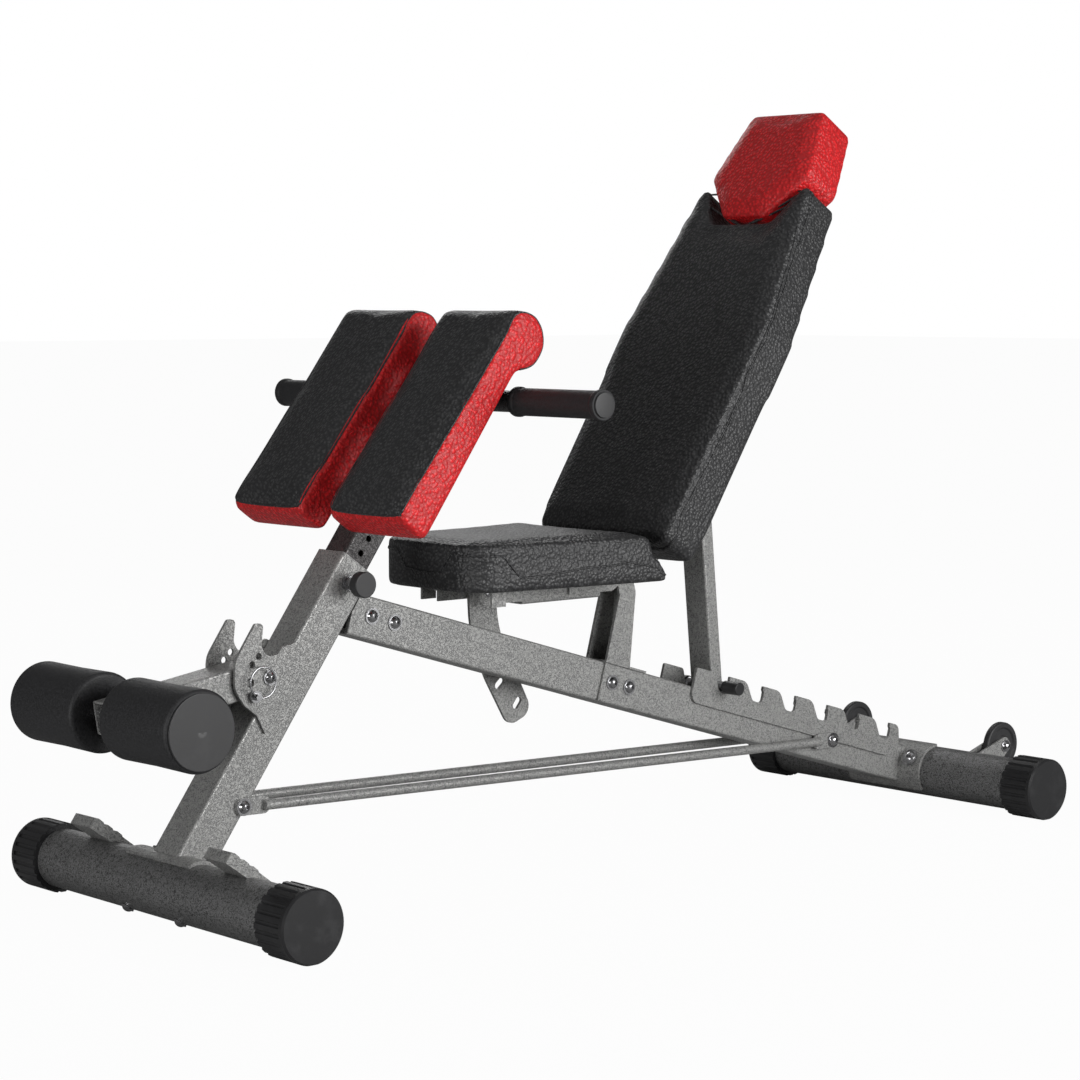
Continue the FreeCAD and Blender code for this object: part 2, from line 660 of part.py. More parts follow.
ARM_PIN = ARM_PIVOT + V(math.cos(math.radians(221)), 0, math.sin(math.radians(221))) * 30
PIN_FACE = POST_HALF + PLATE
pin_shape = cylinder(V(ARM_PIN.x, -PIN_FACE - 12, ARM_PIN.z), UP_Y, 4, 12 + PLATE - 0.5)
pin_shape = pin_shape.fuse(cylinder(V(ARM_PIN.x, -PIN_FACE - 6, ARM_PIN.z), UP_Y, 7, 4)).removeSplitter()
RING_WAY = V(16, 0, -7).normalize()          # ring wire's direction through the pin
pin_shape = pin_shape.cut(cylinder(V(ARM_PIN.x, -PIN_FACE - 9, ARM_PIN.z) - RING_WAY * 20, RING_WAY, 1.9, 40))
group("arm_pin", [pin_shape])
ring_centre = V(ARM_PIN.x + 7, -PIN_FACE - 9, ARM_PIN.z + 16)
group("pin_ring", [Part.makeTorus(math.hypot(7, 16), 1.1, ring_centre, UP_Y)])

# ---------------------------------------------------------------- post pin
PIN_SPOT = on_post(PIN_ALONG)
pin_place = across(PIN_SPOT.x, PIN_SPOT.z, 0, -1)
revolve("pin_barrel", pin_place, [(POST_HALF, 4.1), (POST_HALF, 9), (POST_HALF + 5, 9), (POST_HALF + 5, 7.5),
                                  (POST_HALF + 14, 7.5), (POST_HALF + 14, 4 + RUN), (POST_HALF + 11.5, 4 + RUN),
                                  (POST_HALF + 11.5, 6.2), (POST_HALF + 1, 6.2), (POST_HALF + 1, 4.1)])
revolve("post_pin", pin_place, [(size("slider_side") / 2 + 0.4, 0), (size("slider_side") / 2 + 0.4, 3.99),
                                (POST_HALF + 30, 3.99), (POST_HALF + 30, 0)])
revolve("post_knob", pin_place, [(POST_HALF + 14.5, 4.02), (POST_HALF + 14.5, 9, 1), (POST_HALF + 21, 9.5),
                                 (POST_HALF + 23, 15, 1), (POST_HALF + 35, 15, 1.5), (POST_HALF + 35, 0),
                                 (POST_HALF + 30.2, 0), (POST_HALF + 30.2, 4.02)])


def coil(label, base, direction, radius, wire, length, turns):
    """Closed-ring stand-in for a compression spring's turns."""
    rings = [Part.makeTorus(radius, wire, base + direction * (length * (i + 0.5) / turns), direction)
             for i in range(turns)]
    return group(label, rings)


coil("pin_spring", V(PIN_SPOT.x, -POST_HALF - 1.2, PIN_SPOT.z), V(0, -1, 0), 5.1, 0.7, 10, 5)

# ---------------------------------------------------------------- sliding pad post
STRAP_DEPTH = 7
SLIDER_FRONT = size("slider_side") / 2
for name, along in (("lower", 480), ("upper", 595)):
    strap = new_body(f"pad_strap_{name}", POST_PLACE)
    face = add_sketch(strap, "XZ_Plane", "side")
    outline(face, [(along - 20, SLIDER_FRONT + 0.02), (along + 20, SLIDER_FRONT + 0.02),
                   (along + 20, SLIDER_FRONT + STRAP_DEPTH, 1), (along - 20, SLIDER_FRONT + STRAP_DEPTH, 1)])
    pad(strap, face, 260)

PAD_Y = 25 + size("pad_width") / 2
BOLSTER = (687, 41, 35)                 # centre along the post, in front of it, and radius
for name, side in (("right", -1), ("left", 1)):
    body = new_body(f"hip_pad_{name}", FreeCAD.Placement(V(0, side * PAD_Y, 0), FreeCAD.Rotation()).multiply(POST_PLACE))
    slab = add_sketch(body, "XZ_Plane", "slab")
    rear = SLIDER_FRONT + STRAP_DEPTH + GAP
    outline(slab, [(420, rear, 8), (420, 78, 14), (BOLSTER[0] + 24, 65), (BOLSTER[0], rear)])
    pad(body, slab, "sizes.pad_width")
    roll = add_sketch(body, "XZ_Plane", "roll")
    circle(roll, *BOLSTER)
    pad(body, roll, "sizes.pad_width")
    before_face = add_sketch(body, "XZ_Plane", "before_face")
    outline(before_face, [(640, 68.15), (BOLSTER[0] + 24, 65), (760, 62.8), (760, 120), (640, 120)])
    cut(body, before_face)

post_cap = new_body("post_top_cap", POST_PLACE)
lid = add_sketch(post_cap, "YZ_Plane", "lid", 672.05)
rectangle(lid, "sizes.slider_side", "sizes.slider_side")
pad(post_cap, lid, 4, symmetric=False)
plug = add_sketch(post_cap, "YZ_Plane", "plug", 658)
rectangle(plug, "sizes.slider_side - 2 * sizes.slider_wall - 0.2", "sizes.slider_side - 2 * sizes.slider_wall - 0.2")
pad(post_cap, plug, 14.05, symmetric=False)

HANDLE = on_post(HANDLE_ALONG)
handle = new_body("handle_bar", across(HANDLE.x, HANDLE.z, 0, 1))
ring = add_sketch(handle, "YZ_Plane", "ring")
circle(ring, 0, 0, size("handle_radius"))
circle(ring, 0, 0, size("handle_radius") - 2)
pad(handle, ring, "sizes.handle_span - 8")
for name, side in (("right", -1), ("left", 1)):
    tip = size("handle_span") / 2
    start = tip - size("grip_length")
    bore = size("handle_radius") + 0.05
    revolve(f"grip_{name}", across(HANDLE.x, HANDLE.z, 0, side), [
        (start, bore), (start, size("grip_radius") + 1.5, 1), (start + 5, size("grip_radius") + 1.5, 1),
        (start + 6, size("grip_radius")), (tip - 6, size("grip_radius")), (tip - 5, size("grip_radius") + 1.5, 1),
        (tip, size("grip_radius") + 1.5, 1.5), (tip, 0), (tip - 3.9, 0), (tip - 3.9, bore)])

# ---------------------------------------------------------------- seat
SEAT_Z = 348
seat_place = FreeCAD.Placement(V(FRONT, 0, SEAT_Z + GAP), FreeCAD.Rotation())
seat_pad = new_body("seat_pad", seat_place)
plan = add_sketch(seat_pad, "XY_Plane", "plan")
outline(plan, [(388, -93, 45), (671, -127, 4), (671, 127, 4), (388, 93, 45)])
pad(seat_pad, plan, "sizes.seat_thickness", symmetric=False)
rear_slope = add_sketch(seat_pad, "XZ_Plane", "rear_slope")
outline(rear_slope, [(640, 90), (640, 58), (646, 56), (649, 50), (649, 39), (671, 13), (720, 13), (720, 90)])
cut(seat_pad, rear_slope)

channel = new_body("seat_cross_channel", FreeCAD.Placement(V(FRONT + 437, 0, SEAT_Z - 20), FreeCAD.Rotation()))
for half, length in ((67, 22), (36, 89)):
    section = add_sketch(channel, "YZ_Plane", "section")
    outline(section, [(-half, 0), (-half, 20, 3), (half, 20, 3), (half, 0), (half - 3, 0), (half - 3, 17),
                      (3 - half, 17), (3 - half, 0)])
    pad(channel, section, length, symmetric=False)
SEAT_SCREWS = [(11, -50), (11, 50), (65, -15), (65, 15)]
drill(channel, [(x, y, 3.2) for x, y in SEAT_SCREWS], "XY_Plane")
group("seat_screws", [piece for x, y in SEAT_SCREWS for piece in screw_head(
    V(FRONT + 437 + x, y, SEAT_Z - 3), V(0, 0, -1), head=5.5, washer=7, shank=3, reach=2.9)])

rail_place = FreeCAD.Placement(V(FRONT, 0, SEAT_Z - 13), FreeCAD.Rotation())
square_tube("seat_rail", rail_place, "40", "26", "2", 526.2, 655)
ear = [(600, 329), (600, 347.5), (672.6, 347.5, 2), (678, 370, 11.9), (702, 370, 11.9), (702, 346, 11.9), (672, 329, 6)]
for name, side in (("right", -1), ("left", 1)):
    plate(f"seat_ear_{name}", [(FRONT + p[0],) + p[1:] for p in ear], "sizes.plate_thickness", side * 22,
          [(HINGE.x, HINGE.z, size("hinge_radius") + RUN)])


def about_hinge(radius, degrees):
    turn = math.radians(degrees)
    return (HINGE.x + radius * math.cos(turn), HINGE.z + radius * math.sin(turn))


sector_edge = [(481, 344.9), (484, 298, 80), (505, 233, 120), (546, 164, 16), (585, 180, 16), (566, 216.5, 60),
               (529, 287, 120), (524, 344.9)]
sector = plate("seat_sector", [(FRONT + p[0],) + p[1:] for p in sector_edge], "sizes.plate_thickness", 30.5)
SECTOR_RADIUS = (SEAT_PIN - HINGE).Length
FIRST_SLOT, SLOT_STEP = 210.2, 10.8
for i in range(3):
    degrees = FIRST_SLOT + i * SLOT_STEP
    corners = [about_hinge(SECTOR_RADIUS + reach, degrees) for reach in (-4, 4)]
    slot = add_sketch(sector, "XZ_Plane", "slot")
    side_way = V(-math.sin(math.radians(degrees)), math.cos(math.radians(degrees)), 0) * 4.5
    run = V(math.cos(math.radians(degrees)), math.sin(math.radians(degrees)), 0) * 4.5
    near, far_end = V(*corners[0], 0) - run, V(*corners[1], 0) + run
    outline(slot, [(c.x, c.y, 4.4) for c in (near - side_way, near + side_way, far_end + side_way, far_end - side_way)])
    cut(sector, slot)

SUPPORT_HALF = 19.6
support_edge = [(667, 240.8), (707, 229.1), (717, 325, 20), (702, 370, 11.8), (678, 370, 11.8), (689.5, 322)]
support = plate("seat_support", [(FRONT + p[0],) + p[1:] for p in support_edge], 2 * SUPPORT_HALF, 0,
                [(HINGE.x, HINGE.z, size("hinge_radius") + RUN)])
hollow = add_sketch(support, "XZ_Plane", "hollow")
outline(hollow, [(FRONT + x, z) for x, z in (
    (640, 200), (702.8, 200), (712.4, 322), (712.4, 335), (740, 335), (740, 390), (640, 390))])
pocket = support.newObject("PartDesign::Pocket", "open_front")
pocket.Profile = hollow
pocket.SideType = "Symmetric"
pocket.Length = 2 * (SUPPORT_HALF - PLATE)
doc.recompute()
group("hinge_axle", bolt(HINGE, V(0, -1, 0), 2 * 28.8, shank=size("hinge_radius"), head=9, washer=11))

pin_bracket_y = 36
blank = Part.makeBox(132, PLATE, 28, V(-56, pin_bracket_y, -14))
for start in (-56, 70):
    blank = blank.fuse(Part.makeBox(6, pin_bracket_y - BEAM_HALF - 0.05, 16, V(start, BEAM_HALF + 0.05, -8)))
blank = blank.removeSplitter()
blank.Placement = FreeCAD.Placement(SEAT_PIN, FreeCAD.Rotation(UP_Y, math.degrees(BEAM_FALL)))
group("seat_pin_bracket", [drilled(blank, SEAT_PIN, UP_Y, 4.3)])
seat_pin_place = across(SEAT_PIN.x, SEAT_PIN.z, 0, 1)
barrel_y = pin_bracket_y + PLATE
revolve("seat_pin_barrel", seat_pin_place, [(barrel_y + 0.02, 4 + RUN), (barrel_y + 0.02, 8), (barrel_y + 12, 8),
                                            (barrel_y + 12, 4 + RUN)])
revolve("seat_pin", seat_pin_place, [(33.5, 0), (33.5, 4, 1), (barrel_y + 14, 4), (barrel_y + 14, 9, 1),
                                     (barrel_y + 19, 9), (barrel_y + 20, 13, 1), (barrel_y + 30, 13, 2),
                                     (barrel_y + 30, 0)])

# ---------------------------------------------------------------- backrest
FACE_OUT, HEAD_OUT = -47, -48
back_place = FreeCAD.Placement(on_back(0, FACE_OUT), FreeCAD.Rotation(UP_Y, BACK_UP, BACK_OUT, "XYZ"))
back_pad = new_body("back_pad", back_place)
plan = add_sketch(back_pad, "XY_Plane", "plan")
half_outline = [(120, 3, 18), (128.5, 312, 150), (98, 525, 7), (84, 525, 5), (54, 473, 8)]
mirrored = [(-y, s, r) for y, s, r in half_outline[::-1]]
outline(plan, half_outline + mirrored)
pad(back_pad, plan, "sizes.back_thickness", symmetric=False)
bottom_edge = add_sketch(back_pad, "YZ_Plane", "bottom_edge")
outline(bottom_edge, [(-5, -5), (30, -5), (30, 0), (3, 0, 17.5), (3, 30), (-5, 30)])
cut(back_pad, bottom_edge)

head_place = FreeCAD.Placement(on_back(0, HEAD_OUT), FreeCAD.Rotation(UP_Y, BACK_UP, BACK_OUT, "XYZ"))
head_pad = new_body("head_pad", head_place)
plan = add_sketch(head_pad, "XY_Plane", "plan")
half_outline = [(38, 481, 6), (90, 543, 8), (66, 644, 8)]
outline(plan, half_outline + [(-y, s, r) for y, s, r in half_outline[::-1]])
pad(head_pad, plan, "sizes.head_thickness", symmetric=False)

PAD_REAR = FACE_OUT + size("back_thickness")
STRAP_REAR = PAD_REAR + GAP + PLATE
SPINE_HALF, SPINE_DEPTH = 24.4, 20
SPINE_MIDDLE = STRAP_REAR + SPINE_DEPTH / 2
square_tube("back_spine", turned(BACK_UP, on_back(0, SPINE_MIDDLE)), str(2 * SPINE_HALF), str(SPINE_DEPTH), "2", 8, 596)
BACK_PLACE = turned(BACK_UP, BACK_ZERO)  # local X up the backrest, local Z to the front
for name, up, half, front in (("lower", 45, 95, PAD_REAR + GAP), ("upper", 300, 95, PAD_REAR + GAP),
                              ("head", 570, 55, HEAD_OUT + size("head_thickness") + GAP)):
    strap = new_body(f"back_strap_{name}", BACK_PLACE)
    face = add_sketch(strap, "XZ_Plane", "side")
    outline(face, [(up - 20, -front), (up + 20, -front), (up + 20, -STRAP_REAR, 1), (up - 20, -STRAP_REAR, 1)])
    pad(strap, face, 2 * half)

back_ear = [(-30, -5.7, 11.8), (-14, -39.4, 8), (60, -39.4, 4), (60, -19.5, 2), (6, -19.5, 3), (0, -12, 3),
            (-6.4, 18.1, 11.5), (-30, 18.1, 11.5)]
hinge_local = BACK_PLACE.inverse().multVec(HINGE)
strut_local = BACK_PLACE.inverse().multVec(STRUT_TOP)
spine_rear = -(SPINE_MIDDLE + SPINE_DEPTH / 2)
lug_half = 12
lug = [(strut_local.x - 24, spine_rear), (strut_local.x + 24, spine_rear),
       (strut_local.x + lug_half, strut_local.z - lug_half, 11.5),
       (strut_local.x - lug_half, strut_local.z - lug_half, 11.5)]
for name, side in (("right", -1), ("left", 1)):
    plate(f"back_ear_{name}", back_ear, "sizes.plate_thickness", side * 26.4,
          [(hinge_local.x, hinge_local.z, size("hinge_radius") + RUN)], BACK_PLACE)
    plate(f"strut_lug_{name}", lug, "sizes.plate_thickness", side * 22.4,
          [(strut_local.x, strut_local.z, 5.1)], BACK_PLACE)
group("strut_bolt", bolt(STRUT_TOP, V(0, -1, 0), 2 * 24.45, shank=5))

# ---------------------------------------------------------------- strut and support bar
strut_run = BAR - STRUT_TOP
strut = square_tube("strut", turned(strut_run, STRUT_TOP), "sizes.strut_width", "sizes.strut_depth", "2",
                    -9.5, strut_run.Length + 5.5)
round_end = add_sketch(strut, "XZ_Plane", "round_end")
outline(round_end, [(-20, -20), (0, -20), (0, -10.01), (-9.5, -10.01, 9.3), (-9.5, 10.01, 9.3), (0, 10.01), (0, 20),
                    (-20, 20)])
cut(strut, round_end)
drill(strut, [(0, 0, 5.1), (strut_run.Length, 0, size("bar_radius"))])
group("support_bar", [cylinder(BAR - V(0, 47, 0), UP_Y, size("bar_radius"), 94)])
for name, side in (("right", -1), ("left", 1)):
    bar_r = size("bar_radius")
    revolve(f"bar_end_{name}", across(BAR.x, BAR.z, 0, side), [
        (34, bar_r + RUN), (34, bar_r + 1.5, 0.5), (61, bar_r + 1.5, 1), (61, 0), (47.1, 0), (47.1, bar_r + RUN)])

# ---------------------------------------------------------------- transport wheels
wheel_r, wheel_half = size("wheel_radius"), size("wheel_width") / 2
half_profile = [(wheel_half, 12), (wheel_half - 2, 14), (wheel_half - 2, wheel_r - 9), (wheel_half, wheel_r - 7),
                (wheel_half, wheel_r, 2.5)]
mirrored = [(-p[0],) + p[1:] for p in half_profile[::-1]]
cheek = [(1243, 74), (1305, 93.5, 9), (1316, 80, 6), (1301, 65.5, 9), (1272, 40)]
for name, side in (("right", -1), ("left", 1)):
    y = side * WHEEL_Y
    revolve(f"wheel_{name}", across(WHEEL_AXIS.x, WHEEL_AXIS.z, y, side),
            [(wheel_half, 5 + RUN)] + half_profile + mirrored + [(-wheel_half, 5 + RUN)])
    bracket = plate(f"wheel_bracket_{name}", [(FRONT + p[0],) + p[1:] for p in cheek], 2 * (wheel_half + 4.2), y,
                    [(WHEEL_AXIS.x, WHEEL_AXIS.z, 5.1)])
    bracket.AllowCompound = True
    tube_side = add_sketch(bracket, "XZ_Plane", "tube_side")
    circle(tube_side, REAR_FOOT, FOOT_Z, FOOT_R + 0.05)
    cut(bracket, tube_side)
    gap_face = add_sketch(bracket, "XZ_Plane", "gap_face")
    outline(gap_face, [(FRONT + x, z) for x, z in ((1200, 0), (1400, 0), (1400, 150), (1200, 150))])
    gap_cut = bracket.newObject("PartDesign::Pocket", "wheel_gap")
    gap_cut.Profile = gap_face
    gap_cut.SideType = "Symmetric"
    gap_cut.Length = 2 * (wheel_half + 1.2)
    group(f"wheel_axle_{name}", bolt(WHEEL_AXIS + V(0, y, 0), V(0, -1, 0), 2 * (wheel_half + 4.2), shank=5, head=7,
                                     washer=8.5))

# ---------------------------------------------------------------- pieces that make one node
def join(label, *pieces):
    members = [obj for obj in nodes if obj.Label in pieces]
    assert len(members) == len(pieces), label
    for obj in members:
        nodes.remove(obj)
    whole = doc.addObject("Part::Compound", label)
    whole.Links = members
    return keep(whole, label)


for name in ("front", "rear"):
    join(f"{name}_foot_caps", f"{name}_cap_right", f"{name}_cap_left")
join("foot_bolts", "front_foot_bolts", "rear_foot_bolts")
join("foot_rests", "foot_rest_right", "foot_rest_left")
join("pad_straps", "pad_strap_lower", "pad_strap_upper")
join("frame_bolts", "beam_front_bolts", "beam_joint_bolts", "brace_bolts")
join("arm_frame", "roller_arm", "arm_ears")
join("ladder_plates", "ladder_plate_right", "ladder_plate_left")
join("ankle_plates", "ankle_plate_right", "ankle_plate_left")
join("arm_pull_pin", "arm_pin", "pin_ring")
join("post_pull_pin", "post_pin", "post_knob")
join("handle_grips", "grip_right", "grip_left")
join("seat_frame", "seat_rail", "seat_ear_right", "seat_ear_left", "seat_cross_channel")
join("back_frame", "back_spine", "back_ear_right", "back_ear_left", "strut_lug_right", "strut_lug_left")
join("back_straps", "back_strap_lower", "back_strap_upper", "back_strap_head")
join("bar_ends", "bar_end_right", "bar_end_left")
join("wheel_brackets", "wheel_bracket_right", "wheel_bracket_left")
join("wheel_axles", "wheel_axle_right", "wheel_axle_left")
join("seat_pin_mount", "seat_pin_bracket", "seat_pin_barrel")

# ---------------------------------------------------------------- checks and files
doc.recompute()
failed = [obj.Label for obj in doc.Objects if {"Invalid", "Error"} & set(obj.State)]
assert not failed, f"failed objects: {failed}"
os.makedirs("parts", exist_ok=True)
for obj in nodes:
    shape = obj.Shape
    assert not shape.isNull() and shape.isValid() and shape.Solids, f"bad shape: {obj.Label}"
    shape.exportStep(f"parts/{obj.Label}.step")
whole = Part.Compound([obj.Shape for obj in nodes]).BoundBox
print(len(nodes), "nodes written")
print(f"X {whole.XMin:.2f} {whole.XMax:.2f}  Y {whole.YMin:.2f} {whole.YMax:.2f}  Z {whole.ZMin:.2f} {whole.ZMax:.2f}")
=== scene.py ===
import json
import math
import bmesh
import bpy
from mathutils import Matrix, Vector
from mathutils.bvhtree import BVHTree


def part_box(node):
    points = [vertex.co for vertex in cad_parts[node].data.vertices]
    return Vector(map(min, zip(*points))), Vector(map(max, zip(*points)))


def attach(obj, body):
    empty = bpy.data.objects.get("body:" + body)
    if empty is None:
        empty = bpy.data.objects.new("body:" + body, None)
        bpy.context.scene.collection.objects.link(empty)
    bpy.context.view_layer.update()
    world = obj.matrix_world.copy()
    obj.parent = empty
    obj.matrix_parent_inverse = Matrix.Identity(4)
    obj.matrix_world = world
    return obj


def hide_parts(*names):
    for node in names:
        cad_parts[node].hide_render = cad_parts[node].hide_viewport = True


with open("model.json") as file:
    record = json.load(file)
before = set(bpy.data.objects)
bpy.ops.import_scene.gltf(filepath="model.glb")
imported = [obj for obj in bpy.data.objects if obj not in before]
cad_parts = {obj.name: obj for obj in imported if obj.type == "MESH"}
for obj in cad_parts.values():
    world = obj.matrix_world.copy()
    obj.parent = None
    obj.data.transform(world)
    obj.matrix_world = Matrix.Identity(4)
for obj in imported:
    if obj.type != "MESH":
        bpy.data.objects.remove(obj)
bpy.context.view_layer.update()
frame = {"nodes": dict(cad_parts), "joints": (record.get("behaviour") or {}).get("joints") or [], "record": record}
print("frame loaded:", len(frame["nodes"]), "nodes")

# The camera stands low at the front right corner.
viewpoint = {"place": (-2.320, -2.564, 0.690), "lens": 92.83, "tiltDown": 4.891, "turn": -41.5, "sensor": 36,
             "near": 0.05, "far": 60}

camera = bpy.data.objects.new("benchCamera", bpy.data.cameras.new("benchCamera"))
camera.data.sensor_width = viewpoint["sensor"]
camera.data.lens = viewpoint["lens"]
camera.data.clip_start, camera.data.clip_end = viewpoint["near"], viewpoint["far"]
camera.location = viewpoint["place"]
camera.rotation_euler = (math.radians(90 - viewpoint["tiltDown"]), 0, math.radians(viewpoint["turn"]))
bpy.context.collection.objects.link(camera)
bpy.context.scene.camera = camera
print("camera placed")


# A number coming out of a node; operators on it add Math nodes.
class Wire:
    def __init__(self, finish, socket):
        self.finish, self.socket = finish, socket

    def maths(self, operation, *others):
        return self.finish.node("ShaderNodeMath", {"operation": operation}, dict(enumerate((self,) + others)))

    def reflected(self, operation, other):
        return self.finish.node("ShaderNodeMath", {"operation": operation}, {0: other, 1: self})

    def __add__(self, other): return self.maths("ADD", other)
    def __radd__(self, other): return self.reflected("ADD", other)
    def __sub__(self, other): return self.maths("SUBTRACT", other)
    def __rsub__(self, other): return self.reflected("SUBTRACT", other)
    def __mul__(self, other): return self.maths("MULTIPLY", other)
    def __rmul__(self, other): return self.reflected("MULTIPLY", other)
    def __abs__(self): return self.maths("ABSOLUTE")

    def clamped(self):
        return self.finish.node("ShaderNodeClamp", {}, {"Value": self})

    def ramped(self, low, high):  # 0 below low, 1 above high, smooth between
        return self.finish.node("ShaderNodeMapRange", {"interpolation_type": "SMOOTHSTEP"},
                                {"Value": self, "From Min": low, "From Max": high})


# One procedural material: the Principled shader and the nodes that feed it.
class Finish:
    def __init__(self, name, **fixed):
        self.material = bpy.data.materials.new(name)
        self.material.use_nodes = True
        self.tree = self.material.node_tree
        self.shader = next(n for n in self.tree.nodes if n.type == "BSDF_PRINCIPLED")
        for socket, value in fixed.items():
            self.shader.inputs[socket.replace("_", " ")].default_value = value
        self.place = self.node("ShaderNodeTexCoord", {}, {}, "Object")

    def node(self, kind, settings, inputs, output=0):
        made = self.tree.nodes.new(kind)
        for key, value in settings.items():
            setattr(made, key, value)
        for key, value in inputs.items():
            if isinstance(value, Wire):
                self.tree.links.new(value.socket, made.inputs[key])
            else:
                made.inputs[key].default_value = value
        return Wire(self, made.outputs[output])

    def noise(self, scale, detail, roughness=0.5, distortion=0):
        return self.node("ShaderNodeTexNoise", {}, {"Vector": self.place, "Scale": scale, "Detail": detail,
                                                    "Roughness": roughness, "Distortion": distortion})

    def cells(self, scale, smooth, place=None):
        return self.node("ShaderNodeTexVoronoi", {"feature": "SMOOTH_F1"},
                         {"Vector": place or self.place, "Scale": scale, "Smoothness": smooth})

    def blendColours(self, amount, first, second):
        mix = self.tree.nodes.new("ShaderNodeMix")
        mix.data_type = "RGBA"
        self.tree.links.new(amount.socket, mix.inputs[0])
        for slot, colour in ((6, first), (7, second)):
            if isinstance(colour, Wire):
                self.tree.links.new(colour.socket, mix.inputs[slot])
            else:
                mix.inputs[slot].default_value = (*colour, 1)
        return Wire(self, mix.outputs[2])

    def wobbled(self, scale, amount):  # pushes the cells about, so that they aren't too regular
        drift = self.node("ShaderNodeTexNoise", {}, {"Vector": self.place, "Scale": scale, "Detail": 1}, "Color")
        centred = self.node("ShaderNodeVectorMath", {"operation": "SUBTRACT"}, {0: drift, 1: (0.5, 0.5, 0.5)})
        push = self.node("ShaderNodeVectorMath", {"operation": "SCALE"}, {0: centred, "Scale": amount})
        return self.node("ShaderNodeVectorMath", {"operation": "ADD"}, {0: self.place, 1: push})

    def raised(self, height, strength, distance):
        bump = self.node("ShaderNodeBump", {}, {"Height": height, "Strength": strength, "Distance": distance})
        self.feed("Normal", bump)

    def feed(self, socket, wire):
        self.tree.links.new(wire.socket, self.shader.inputs[socket])


hammertone = {"ripple": 340, "twist": 0.8, "ridge": (0.005, 0.10), "clouds": 9, "cloudEdge": (0.3, 0.75),
              "worn": 0.88, "wornShare": 0.3, "rough": 0.44, "ridgeGloss": 0.08, "bump": 0.55, "depth": 0.0005}


# Silver-grey paint that dries in fine wormlike ridges; the low grooves between the ridges are painted darker, as
# painted shade.
def hammertonePaint(name, grooveShade, bright, sheen):
    finish = Finish(name, Metallic=sheen, Specular_IOR_Level=0.5)
    ripple = finish.noise(hammertone["ripple"], detail=1, distortion=hammertone["twist"])
    ridge = abs(ripple - 0.5).ramped(*hammertone["ridge"])
    clouds = finish.noise(hammertone["clouds"], detail=2).ramped(*hammertone["cloudEdge"])
    # painted shade: the low grooves between the ridges take the darker colour, the ridges the paint's own colour
    tone = finish.blendColours(ridge, grooveShade, bright)
    worn = [c * hammertone["worn"] for c in bright]
    finish.feed("Base Color", finish.blendColours(clouds * ridge * hammertone["wornShare"], tone, worn))
    finish.feed("Roughness", hammertone["rough"] - ridge * hammertone["ridgeGloss"])
    finish.raised(ridge, hammertone["bump"], hammertone["depth"])
    return finish.material


leather = {"wobble": (90, 0.004), "cellSmooth": 0.35, "steepness": 1.25, "topEdge": (0.25, 0.8), "fine": 900,
           "fineShare": 0.08, "clouds": 14, "cloudEdge": (0.35, 0.7), "cloudShare": 0.12, "cloudTone": 0.85,
           "creaseRough": 0.12, "topGloss": 0.1, "cloudRough": 0.03, "bump": 0.85, "depth": 0.0014}


# Synthetic leather: rounded pebbles between creases; the creases are painted darker as painted shade and the pebble
# tops lighter as painted highlights.
def grainedLeather(name, creaseShade, crown, gloss, pebble):
    finish = Finish(name, Specular_IOR_Level=0.5, Coat_Roughness=0.35)
    place = finish.wobbled(*leather["wobble"])
    pebbles = finish.cells(pebble, leather["cellSmooth"], place)
    fine = finish.noise(leather["fine"], detail=2)
    height = (1 - pebbles * leather["steepness"]).clamped()
    top = height.ramped(*leather["topEdge"])
    drift = finish.noise(leather["clouds"], detail=3).ramped(*leather["cloudEdge"])
    # painted light: the darker colour is painted shade in the creases, the lighter one a painted highlight on the
    # pebble tops
    tone = finish.blendColours(top, creaseShade, crown)
    shaded = [c * leather["cloudTone"] for c in crown]
    finish.feed("Base Color", finish.blendColours(drift * leather["cloudShare"], tone, shaded))
    rough = gloss + leather["creaseRough"] - top * leather["topGloss"] + drift * leather["cloudRough"]
    finish.feed("Roughness", rough)
    finish.raised(height + fine * leather["fineShare"], leather["bump"], leather["depth"])
    return finish.material


foamSkin = {"breakUp": 0.65, "poreScale": 1.6, "poreSmooth": 0.5, "edge": (0.35, 0.68), "lighter": 1.9, "lift": 0.004,
            "rough": 0.5, "worn": 0.16, "skinShare": 0.7, "poreShare": 0.4, "bump": 0.45, "depth": 0.0009}


# Skinned foam with shallow uneven pores.
def closedFoam(name, tone, grain):
    finish = Finish(name, Specular_IOR_Level=0.4)
    skin = finish.noise(grain, detail=3, roughness=foamSkin["breakUp"])
    pores = finish.cells(grain * foamSkin["poreScale"], foamSkin["poreSmooth"])
    mask = skin.ramped(*foamSkin["edge"])
    lighter = [c * foamSkin["lighter"] + foamSkin["lift"] for c in tone]
    finish.feed("Base Color", finish.blendColours(mask, tone, lighter))
    finish.feed("Roughness", foamSkin["rough"] + mask * foamSkin["worn"])
    height = skin * foamSkin["skinShare"] + (1 - pores) * foamSkin["poreShare"]
    finish.raised(height, foamSkin["bump"], foamSkin["depth"])
    return finish.material


moulding = {"grain": 1400, "rub": 35, "breakUp": 0.6, "rubEdge": (0.5, 0.75), "lighter": 1.35, "lift": 0.003,
            "worn": 0.1, "bump": 0.12, "depth": 0.0003}


